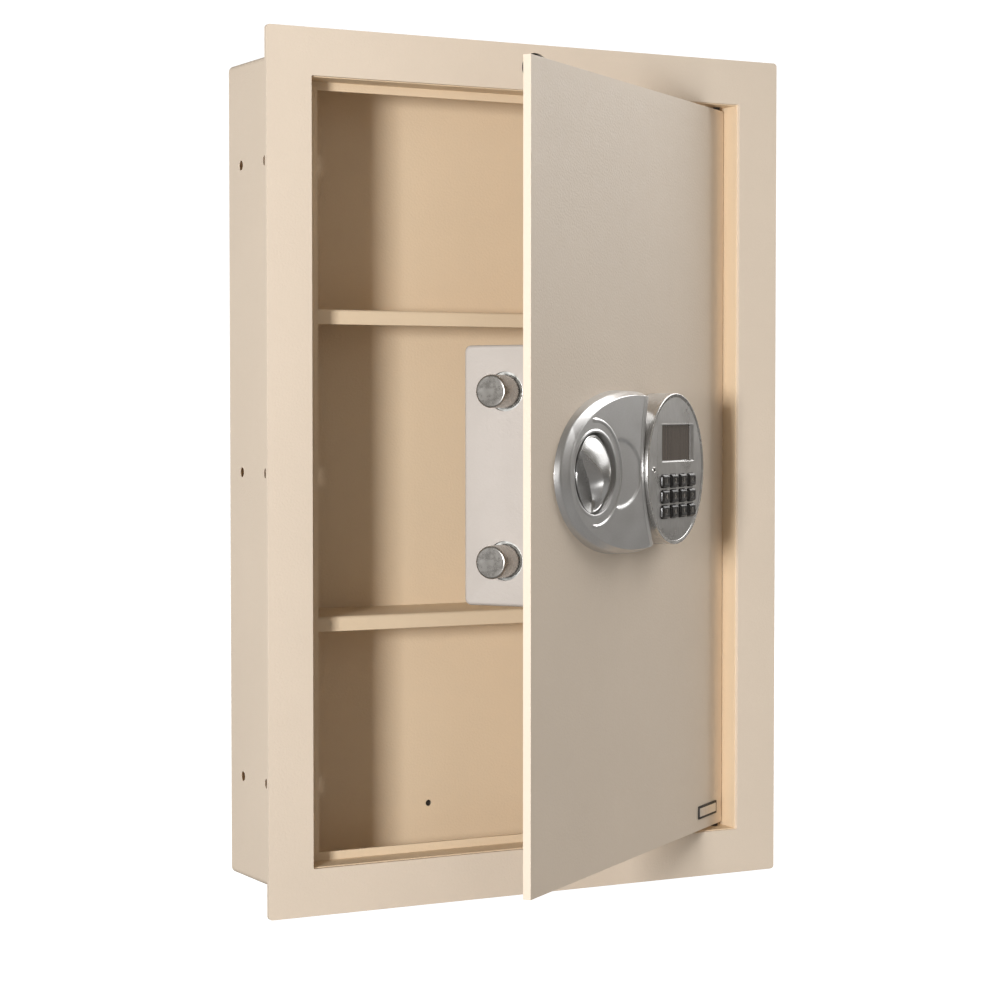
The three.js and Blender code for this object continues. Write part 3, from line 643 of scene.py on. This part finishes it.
def build_pivot(where, side):
    """The block behind the door's corner, and the pin that stands out of it."""
    upright = tilted(DOOR, (1, 0, 0), (0, 0, -1), (0, 1, 0))
    half = DOOR_H / 2
    near, low = DOOR_W - HINGE_S, DOOR_T - 0.02
    outline = [(near, low), (DOOR_W, low), (DOOR_W, HINGE_DEPTH), (near, HINGE_DEPTH)]
    block = slab([outline], *sorted((side * (half - HINGE_Z), side * half)))
    piece(f"pivot_block_{where}", block, upright, "cream", "door", [f"hinge_block_{where}"], 0.6)
    a, b = sorted((side * (half - HINGE_Z + PIN_START), side * PIN_END))
    r, edge = PIN_R, 0.4
    pin = [(0, a), (r - edge, a), (r, a + edge), (r, b - edge), (r - edge, b), (0, b)]
    piece(
        f"pivot_pin_{where}", lathe(pin, (PIVOT_S, PIVOT_DEPTH), 40), upright, "dark", "door",
        [f"hinge_pin_{where}"],
    )


# ---- Lock front ----


def smooth(low, high, value):
    t = min(1.0, max(0.0, (value - low) / (high - low)))
    return t * t * (3 - 2 * t)


def bulge(value, half_width):
    t = abs(value) / half_width
    return math.sqrt(1 - t * t) if t < 1 else 0.0


def ray_to_oval(angle, radii):
    """Distance from the knob's centre to an oval about the base's centre."""
    dx, dy = math.cos(angle) / radii[0], math.sin(angle) / radii[1]
    ox, oy = (KNOB.x - BASE.x) / radii[0], (KNOB.y - BASE.y) / radii[1]
    a, b, c = dx * dx + dy * dy, ox * dx + oy * dy, ox * ox + oy * oy - 1
    return (-b + math.sqrt(b * b - a * c)) / a


def ray_to_keypad(angle, radius):
    """Distance from the knob's centre to a circle about the keypad's, or far off where it misses."""
    dx, dy = math.cos(angle), math.sin(angle)
    ox, oy = KNOB.x - KEYPAD.x, KNOB.y - KEYPAD.y
    b, c = ox * dx + oy * dy, ox * ox + oy * oy - radius * radius
    under = b * b - c
    if under <= 0 or b > 0:
        return 1e9
    return -b - math.sqrt(under)


def shoulder(q):
    for (q0, h0), (q1, h1) in zip(SHOULDER, SHOULDER[1:]):
        if q <= q1:
            return h0 + (h1 - h0) * (q - q0) / (q1 - q0)
    return 1.0


def crease_s(z):
    """Where the sloping face ends and the strip beside the keypad begins."""
    return CREASE_S - CREASE_LEAN * z + CREASE_BOW * z * z


def ray_to_crease(angle):
    """Distance from the knob's centre to the crease beside the keypad."""
    near, far = 0.0, 150.0
    for _ in range(30):
        r = (near + far) / 2
        if KNOB.x + r * math.cos(angle) < crease_s(KNOB.y + r * math.sin(angle)):
            near = r
        else:
            far = r
    return far


def face_height(s, z):
    """Height of the face, with its raised lines, its sunk half-moon and the strip by the keypad."""
    crease = crease_s(z)
    beyond = max(0.0, s - crease)
    height = FACE_START + FACE_TILT * (min(s, crease) - FACE_START_S)
    height -= STRIP_FALL * beyond + STRIP_ROLL * beyond**3
    r = math.hypot(s - KNOB.x, z - KNOB.y)
    angle = math.degrees(math.atan2(z - KNOB.y, s - KNOB.x))
    height += BEAD_H * smooth(*BEAD_ENDS, abs(angle)) * bulge(r - BEAD_R, BEAD_HALF)
    height += COLLAR_H * bulge(r - COLLAR_R, COLLAR_HALF)
    moon = math.hypot((s - MOON_AT[0]) / MOON_RADII[0], (z - MOON_AT[1]) / MOON_RADII[1])
    height -= MOON_DEPTH * smooth(*MOON_NEAR, r) * smooth(*MOON_RIM, moon)
    return max(height + RIDGE_H * bulge(s - crease, RIDGE_HALF), STRIP_LOWEST)


def base_height(s, z, q):
    """Height at a place on the plate, q being 1 on the face and falling to 0 at the plate's foot."""
    height = face_height(s, z)
    if q >= 1:
        return height
    return height * shoulder(q) + LINE_H * bulge(q - LINE_SHARE, LINE_HALF)


def lock_base_grid(count, near, far, strip, band):
    """Rings from the dish out: near the knob, to the crease, over the strip and down the shoulder.

    The powers crowd the rings towards the crease and towards the plate's foot.
    """
    grid = [[] for _ in range(near + far + strip + band + 1)]
    for i in range(count):
        a = TAU * i / count
        stop = ray_to_keypad(a, KEYPAD_R + BASE_GAP)
        full_line, full_rim = ray_to_oval(a, LINE_RADII), ray_to_oval(a, BASE_RADII)
        line, rim = min(full_line, stop), min(full_rim, stop + 0.002)
        waist = min(36.0, DISH_R + 0.8 * (line - DISH_R))
        edge = min(ray_to_crease(a), waist + 0.97 * (line - waist))
        for k, ring in enumerate(grid):
            q = 1.0
            if k <= near:
                r = DISH_R + (waist - DISH_R) * k / near
            elif k <= near + far:
                r = waist + (edge - waist) * (1 - (1 - (k - near) / far) ** 1.4)
            elif k <= near + far + strip:
                r = edge + (line - edge) * ((k - near - far) / strip) ** 1.4
            else:
                t = (k - near - far - strip) / band
                r = line + (rim - line) * (1 - (1 - t) ** 1.6)
                if r > full_line:
                    q = 1 - (r - full_line) / (full_rim - full_line)
            s, z = KNOB.x + r * math.cos(a), KNOB.y + r * math.sin(a)
            ring.append((s, z, max(base_height(s, z, q), BASE_FOOT + 0.01)))
    return grid


def build_lock_base():
    count = 480
    grid = lock_base_grid(count, near=26, far=40, strip=16, band=18)
    dish = [
        (SPINDLE_HOLE_R, BASE_FOOT), (SPINDLE_HOLE_R, DISH_FLOOR), (DISH_R - 0.7, DISH_FLOOR),
        (DISH_R - 0.1, DISH_FLOOR + 0.5),
    ]
    rings = [at_height(circle(*KNOB, r, count), h) for r, h in dish]
    rings.append([(x, y, h - 0.5) for x, y, h in grid[0]])
    rings += grid
    rings.append([(x, y, BASE_FOOT) for x, y, _ in grid[-1]])
    piece("lock_oval", stack(rings, loop=True), DOOR, "silver", "door", ["lock_base"], 0.0, 50)


def blended(points, t):
    """Smooth curve through points of any dimension, t from 0 to 1."""
    i = min(int(t * (len(points) - 1)), len(points) - 2)
    f = t * (len(points) - 1) - i
    before, start, end, after = (
        points[max(i - 1, 0)], points[i], points[i + 1], points[min(i + 2, len(points) - 1)]
    )
    return [
        0.5
        * (
            2 * b
            + (c - a) * f
            + (2 * a - 5 * b + 4 * c - d) * f**2
            + (3 * b - a - 3 * c + d) * f**3
        )
        for a, b, c, d in zip(before, start, end, after)
    ]


def dome_height(x, y):
    share = min(1.0, math.hypot(x, y) / TOP_R)
    crown = (KNOB_PEAK - KNOB_RIM) * max(0.0, 1 - share**2) ** 0.8
    return KNOB_RIM + crown + FACE_TILT * x * (1 - share**4)


def scoop_cutter():
    """Solid that takes the thumb's hollow out of the dome: steep wall, crease and dished floor."""
    steps, wall_steps, floor_steps, above = 64, 5, 8, 20.0
    first, last = SCOOP_TURN
    sections = []
    for k in range(steps + 1):
        t = k / steps
        ex, ey = blended(SCOOP_EDGE, t)
        cx, cy, ch = blended(SCOOP_CREASE, t)
        a = math.radians(first + (last - first) * t)
        fx, fy = SCOOP_OUTSIDE * math.cos(a), SCOOP_OUTSIDE * math.sin(a)
        top = dome_height(ex, ey)
        section = [(fx, fy, above), (ex + 0.02, ey, above)]
        for j in range(wall_steps):
            f = j / wall_steps
            lean = f**1.3
            section.append((ex + (cx - ex) * lean, ey + (cy - ey) * lean, top + (ch - top) * f))
        for j in range(floor_steps + 1):
            f = j / floor_steps
            dip = ch + (SCOOP_LIP - ch) * f**2.2 - 0.5 * math.sin(math.pi * f)
            section.append((cx + (fx - cx) * f, cy + (fy - cy) * f, dip))
        sections.append([(KNOB.x + x, KNOB.y + y, h) for x, y, h in section])
    return stack(sections)


def build_knob():
    count, rows = 160, 44
    skirt = [
        (TOP_R - 3, KNOB_FOOT), (KNOB_R - 0.3, KNOB_FOOT), (KNOB_R, KNOB_FOOT + 0.3), (KNOB_R, 6.75),
        (KNOB_R - 0.1, 7.1), (KNOB_R - 0.4, 7.35), (KNOB_R - 0.8, 7.4), (KNOB_R - 1.1, 7.25),
    ]
    rings = [at_height(circle(*KNOB, r, count), h) for r, h in skirt]
    for k in range(rows + 1):
        r = TOP_R * math.sin(math.pi / 2 * (1 - k / rows)) if k < rows else 0.05
        rings.append(
            [(KNOB.x + x, KNOB.y + y, dome_height(x, y)) for x, y in circle(0, 0, r, count)]
        )
    grip = link("knob_grip", mesh_from("knob_grip", stack(rings)), DOOR)
    cut(grip, [scoop_cutter()])
    dress(grip, "knob", "knob_set", ["knob"], 0.0, 28)
    spindle = [(0, -17.9), (3.6, -17.9), (4, -17.5), (4, 2.5), (3.8, 2.7), (0, 2.7)]
    piece("knob_shaft", lathe(spindle, KNOB, 48), DOOR, "steel", "knob_set", ["knob_spindle"])


# ---- Keypad ----


def build_keypad():
    outer, wall = KEYPAD_R, KEYPAD_R - KEYPAD_WALL
    cup = [
        (WIRE_HOLE_R, 0.2), (outer - 0.5, 0.2), (outer, 0.7), (outer, KEYPAD_H), (wall, KEYPAD_H),
        (wall, 2), (WIRE_HOLE_R, 2),
    ]
    piece(
        "keypad_cup", lathe(cup, KEYPAD, 160, True), DOOR, "satin", "door", ["keypad_housing"]
    )
    rim = [
        (46.45, 14.6), (46.45, 16.6), (46.6, 16.75), (46.85, 16.78), (48.25, 16.98), (48.6, 17.02),
        (48.85, 16.92), (49.0, 16.7), (49.03, 16.4), (49.03, 14.6),
    ]
    piece("keypad_ring", lathe(rim, KEYPAD, 160, True), DOOR, "ring", "door", ["keypad_rim"])
    build_keypad_face()
    build_display()

    lens = [(0, 13), (1.25, 13), (1.25, 16.7), (1.0, 17.0), (0.5, 17.15), (0, 17.2)]
    piece("led_lens", lathe(lens, LED_AT, 32), DOOR, "dark", "door", ["status_led"])
    collar = [(1.3, 14.8), (1.3, 17.0), (1.5, 17.2), (1.8, 17.1), (2.0, 16.6), (1.85, 14.8)]
    piece("led_collar", lathe(collar, LED_AT, 32, True), DOOR, "chrome", "door")
    softened("keypad_board", "board", 0.2)
    for name, at in key_places():
        build_key(name, at)


def build_keypad_face():
    """Two plates that meet at a seam: one with the display and the keys, one with the light."""
    chord = math.sqrt(FACE_R**2 - (KEYPAD.x - SEAM_S) ** 2)
    seam_angle = math.atan2(chord, SEAM_S - KEYPAD.x)
    side = face_outline(seam_angle, TAU - seam_angle, 60, -SEAM_HALF)
    main = face_outline(-seam_angle, seam_angle, 150, SEAM_HALF)
    window = rounded(*LCD_AT, *LCD_OUTER, 0.8, 4)
    hole = [size + 2 * KEY_GAP for size in KEY_SIZE]
    holes = [rounded(*at, *hole, KEY_HOLE_R, 5) for _, at in key_places()]
    piece(
        "keypad_face_main", slab([main, window, *holes], FACE_LOW, FACE_TOP), DOOR, "satin", "door",
        ["keypad_face"], 0.14,
    )
    led_hole = circle(*LED_AT, 1.9, 32)
    plate = slab([side, led_hole], FACE_LOW, FACE_TOP)
    piece("keypad_face_side", plate, DOOR, "satin", "door", (), 0.14)


def face_outline(start, end, count, shift):
    """Arc of the face's rim; its two ends move off the seam."""
    points = []
    for k in range(count + 1):
        a = start + (end - start) * k / count
        x = KEYPAD.x + FACE_R * math.cos(a) + (shift if k in (0, count) else 0)
        points.append((x, KEYPAD.y + FACE_R * math.sin(a)))
    return points


def build_display():
    """Sloping bezel with a small raised edge, and the pane behind it."""
    width, height = LCD_OUTER
    steps = [
        (0, 0.8, FACE_TOP - 0.05), (0.3, 0.7, FACE_TOP + 0.12), (0.8, 0.6, FACE_TOP),
    ]
    bezel = [
        at_height(rounded(*LCD_AT, width - inset, height - inset, r, 4), h) for inset, r, h in steps
    ]
    bezel += [at_height(rounded(*LCD_AT, *LCD_INNER, 0.5, 4), h) for h in (15.0, 14.6)]
    bezel += [at_height(rounded(*LCD_AT, *LCD_OUTER, 0.8, 4), 14.6)]
    piece("display_bezel", stack(bezel, loop=True), DOOR, "satin", "door", ())
    pane = slab([rounded(*LCD_AT, *LCD_PANE, 1)], 13.3, 14.75)
    piece("display_pane", pane, DOOR, "glass", "door", ["lcd_window"], 0.1)


def key_places():
    for row, names in enumerate(KEY_ROWS):
        for column, name in enumerate(names):
            yield name, (KEY_FIRST[0] + column * KEY_PITCH[0], KEY_FIRST[1] - row * KEY_PITCH[1])


def build_key(name, at):
    """Cap with rounded shoulders and a shallow hollow on top, and the figure or arrow printed on it."""
    steps = [
        (0, 10.6), (0, 16.9), (0.08, 17.4), (0.3, 17.9), (0.62, 18.3), (1.05, 18.55), (1.5, 18.62),
        (2.0, 18.58), (2.6, 18.5), (3.2, 18.44), (3.8, 18.42),
    ]
    width, height = KEY_SIZE
    rings = []
    for inset, h in steps:
        r = max(KEY_R - inset * 0.4, 0.1)
        rings.append(at_height(rounded(*at, width - 2 * inset, height - 2 * inset, r, 6), h))
    piece(name + "_cap", stack(rings), DOOR, "key", name + "_button", [name], 0.0, 60)
    font = bpy.data.curves.new(name + "_mark", "FONT")
    font.body = {"key_left": "<", "key_right": ">"}.get(name, name[-1])
    font.size = 5.0 * MM
    font.extrude = 0.06 * MM
    font.resolution_u = 4
    font.align_x = "CENTER"
    font.align_y = "CENTER"
    text = bpy.data.objects.new(name + "_text", font)
    bpy.context.scene.collection.objects.link(text)
    bpy.context.view_layer.update()
    mesh = bpy.data.meshes.new_from_object(text)
    bpy.data.objects.remove(text)
    place = tilted(DOOR, (1, 0, 0), (0, 1, 0), (0, 0, 1), (*at, KEY_MARK_H))
    dress(link(name + "_mark", mesh, place), "ink", name + "_button")


# ---- Bolt work ----


def cover_screws():
    for s in (COVER_S[0] + SCREW_INSET, COVER_S[1] - SCREW_INSET):
        for z in (COVER_Z[0] + SCREW_INSET, COVER_Z[1] - SCREW_INSET):
            yield s, z


def build_cover():
    """Sheet case open towards the door, with holes for the bolts and for the four screws."""
    (s0, s1), (d0, d1) = COVER_S, COVER_D
    depth, height = d1 - d0, COVER_Z[1] - COVER_Z[0]
    mid_d, mid_z = d0 + depth / 2, (COVER_Z[0] + COVER_Z[1]) / 2
    sideways = tilted(DOOR, (0, 0, 1), (0, 1, 0), (-1, 0, 0))
    outline = [(max(x, -d1), y) for x, y in rounded(-mid_d, mid_z, depth, height, COVER_R, 8)]
    cover = link("lock_case", mesh_from("lock_case", slab([outline], -s1, -s0)), sideways)
    add_edge(cover, 2.2, 5)
    cover.data = evaluated_mesh(cover)
    cover.modifiers.clear()

    walls, past_door = 2 * COVER_T, 5
    hollow = rounded(
        -mid_d + past_door, mid_z, depth + 2 * past_door - walls, height - walls, 2.6, 6
    )
    tools = [slab([hollow], -s1 + COVER_T, -s0 - COVER_T)]
    for z in BOLTS.values():
        hole = circle(-BOLT_D, z, BOLT_HOLE_R, 64)
        tools.append(stack([at_height(hole, -s0 - 4), at_height(hole, -s0 + 3)]))
    for s, z in cover_screws():
        ends = (d1 - 3, d1 + 3)
        hole = circle(0, 0, SCREW_HOLE_R, 24)
        tools.append(stack([[(-d, z + b, -s + a) for a, b in hole] for d in ends]))
    cut(cover, tools)
    dress(cover, "cover", "door", ["lock_cover"], 0.25, 30)


def build_cover_screws():
    """Domed heads with a cross slot."""
    profile = [(0, -8.9), (1.1, -8.9), (1.5, -8.3), (1.5, 0.1), (3.4, 0.1), (3.4, 0.7)]
    profile += [(3.2, 1.2), (2.6, 1.6), (1.7, 1.85), (0, 1.95)]
    reach, half, low, high = 1.7, 0.35, 1.1, 3
    for i, (s, z) in enumerate(cover_screws()):
        backwards = tilted(DOOR, (-1, 0, 0), (0, 1, 0), (0, 0, -1), (s, z, -COVER_D[1]))
        mesh = mesh_from("screw", lathe(profile, (0, 0), 40))
        screw = link(f"case_screw_{i + 1}", mesh, backwards)
        slots = [
            slab([[(-x, -y), (x, -y), (x, y), (-x, y)]], low, high)
            for x, y in ((reach, half), (half, reach))
        ]
        cut(screw, slots)
        dress(screw, "zinc", "door", [f"cover_screw_{i + 1}"])


def build_bolts():
    near, far = BOLT_S
    steps = [(0.8, -far), (0, -far + 0.8), (0, -near - 1.1), (0.25, -near - 0.6)]
    steps += [(0.75, -near - 0.15), (1.2, -near), (1.35, -near)]
    rod = [(0, -far)] + [(BOLT_R - inset, h) for inset, h in steps] + [(0, -near)]
    for name, z in BOLTS.items():
        towards_edge = tilted(DOOR, (0, 0, 1), (0, 1, 0), (-1, 0, 0), (0, z, -BOLT_D))
        piece(name + "_rod", lathe(rod, (0, 0), 96), towards_edge, "steel", "bolts", [name])


def build_spring():
    turns, wire, length, radius, start = 4, 0.5, 3.6, 3.4, -29.6
    centre = Vector((KNOB.x, KNOB.y - 13, start))
    steps, around = 24 * turns, 10
    rings = []
    for k in range(steps + 1):
        a = TAU * turns * k / steps
        side = Vector((math.cos(a), math.sin(a), 0))
        mid = centre + side * radius - UP * length * k / steps
        rings.append([mid + (side * x + UP * y) for x, y in circle(0, 0, wire, around)])
    piece("return_spring", stack(rings), DOOR, "steel", "door", ["plunger_spring"], 0.0, 60)


def build_cell(number, s):
    upright = tilted(DOOR, (1, 0, 0), (0, 0, -1), (0, 1, 0), (s, CELL_Z0, -CELL_D))
    split, end = CELL_LENGTH - 15, CELL_LENGTH - 1.5
    lower = [(0, 0), (6.2, 0), (7.0, 0.25), (CELL_R, 0.8), (CELL_R, split), (0, split)]
    upper = [
        (0, split), (CELL_R, split), (CELL_R, end - 0.6), (6.9, end - 0.1), (6.3, end),
        (2.9, end), (2.7, end + 0.3), (2.7, CELL_LENGTH - 0.3), (2.3, CELL_LENGTH), (0, CELL_LENGTH),
    ]
    piece(
        f"cell_{number}_sleeve", lathe(lower, (0, 0), 56), upright, "cell", "door",
        [f"battery_{number}"],
    )
    piece(f"cell_{number}_cap", lathe(upper, (0, 0), 56), upright, "copper", "door")


def build_bolt_work():
    build_cover()
    build_cover_screws()
    build_bolts()
    for node, finish, edge in (
        ("bolt_guide", "zinc", 0.3),
        ("bolt_carriage", "zinc", 0.4),
        ("drive_cam", "zinc", 0.3),
        ("solenoid", "steel", 0.6),
        ("solenoid_plunger", "steel", 0.2),
        ("control_board", "board", 0.25),
        ("battery_holder", "black", 0.4),
    ):
        softened(node, finish, edge)
    build_spring()
    for i, s in enumerate(CELLS):
        build_cell(i + 1, s)


# ---- Studio ----


def build_world(scene):
    """White where the camera looks past the object, and a dim warm light for everything else."""
    world = bpy.data.worlds.new("studio")
    scene.world = world
    world.use_nodes = True
    nodes, links = world.node_tree.nodes, world.node_tree.links
    back = nodes["Background"]
    tone = nodes.new("ShaderNodeMix")
    tone.data_type = "RGBA"
    tone.inputs["A"].default_value = (1.0, 0.935, 0.84, 1)
    tone.inputs["B"].default_value = (1, 1, 1, 1)
    path = nodes.new("ShaderNodeLightPath")
    level = nodes.new("ShaderNodeMapRange")
    level.inputs["To Min"].default_value = WORLD_LIGHT
    level.inputs["To Max"].default_value = WORLD_SEEN
    links.new(path.outputs["Is Camera Ray"], level.inputs["Value"])
    links.new(path.outputs["Is Camera Ray"], tone.inputs["Factor"])
    links.new(tone.outputs["Result"], back.inputs["Color"])
    links.new(level.outputs["Result"], back.inputs["Strength"])


def build_floor():
    """Paper that the camera sees as white, and that gives the object back some of its light."""
    mesh = bpy.data.meshes.new("studio_floor")
    square = ((-1, -1), (1, -1), (1, 1), (-1, 1))
    corners = [(x * FLOOR_HALF, y * FLOOR_HALF, FLOOR_Z) for x, y in square]
    mesh.from_pydata(corners, [], [(0, 1, 2, 3)])
    floor = link("studio_floor", mesh)
    paper = bpy.data.materials.new("studio_paper")
    paper.use_nodes = True
    nodes, links = paper.node_tree.nodes, paper.node_tree.links
    shader = nodes["Principled BSDF"]
    shader.inputs["Base Color"].default_value = (0.36, 0.36, 0.36, 1)
    shader.inputs["Roughness"].default_value = 0.9
    shader.inputs["Emission Color"].default_value = (1, 1, 1, 1)
    path = nodes.new("ShaderNodeLightPath")
    links.new(path.outputs["Is Camera Ray"], shader.inputs["Emission Strength"])
    mesh.materials.append(paper)


def lamp(name, direction, distance, size, watts):
    """A rectangular light that stands in the given direction and looks back at the origin."""
    light = bpy.data.lights.new(name, "AREA")
    light.shape = "RECTANGLE"
    light.size, light.size_y = size
    light.energy = watts
    obj = link(name, light)
    aim = Vector(direction).normalized()
    obj.location = aim * distance
    obj.rotation_mode = "QUATERNION"
    obj.rotation_quaternion = aim.to_track_quat("Z", "Y")


def build_camera(scene):
    camera = bpy.data.cameras.new("camera")
    camera.lens = CAMERA_LENS
    camera.sensor_width = 36
    camera.clip_start = 0.05
    camera.clip_end = 50
    view = link("camera", camera)
    view.location = CAMERA_AT
    view.rotation_euler = (math.radians(90 - CAMERA_DOWN), 0, math.radians(CAMERA_TURN))
    scene.camera = view


def build_studio():
    scene = bpy.context.scene
    scene.view_settings.view_transform = "Standard"
    build_world(scene)
    build_floor()
    lamp("key", (-1.67, -1.45, 0.1), 2.21, (0.28, 0.28), 43)
    lamp("softbox_right", (1.0, 0.08, 0.74), 2.2, (1.5, 1.4), 29)
    lamp("softbox_far_right", (0.95, 0.14, 0.24), 2.4, (1.7, 0.8), 6.5)
    lamp("strip_front", (-0.3, -1.0, 0.12), 2.6, (0.3, 1.4), 3.2)
    build_camera(scene)


build_box()
build_door()
build_lock_base()
build_knob()
build_keypad()
build_bolt_work()
build_studio()
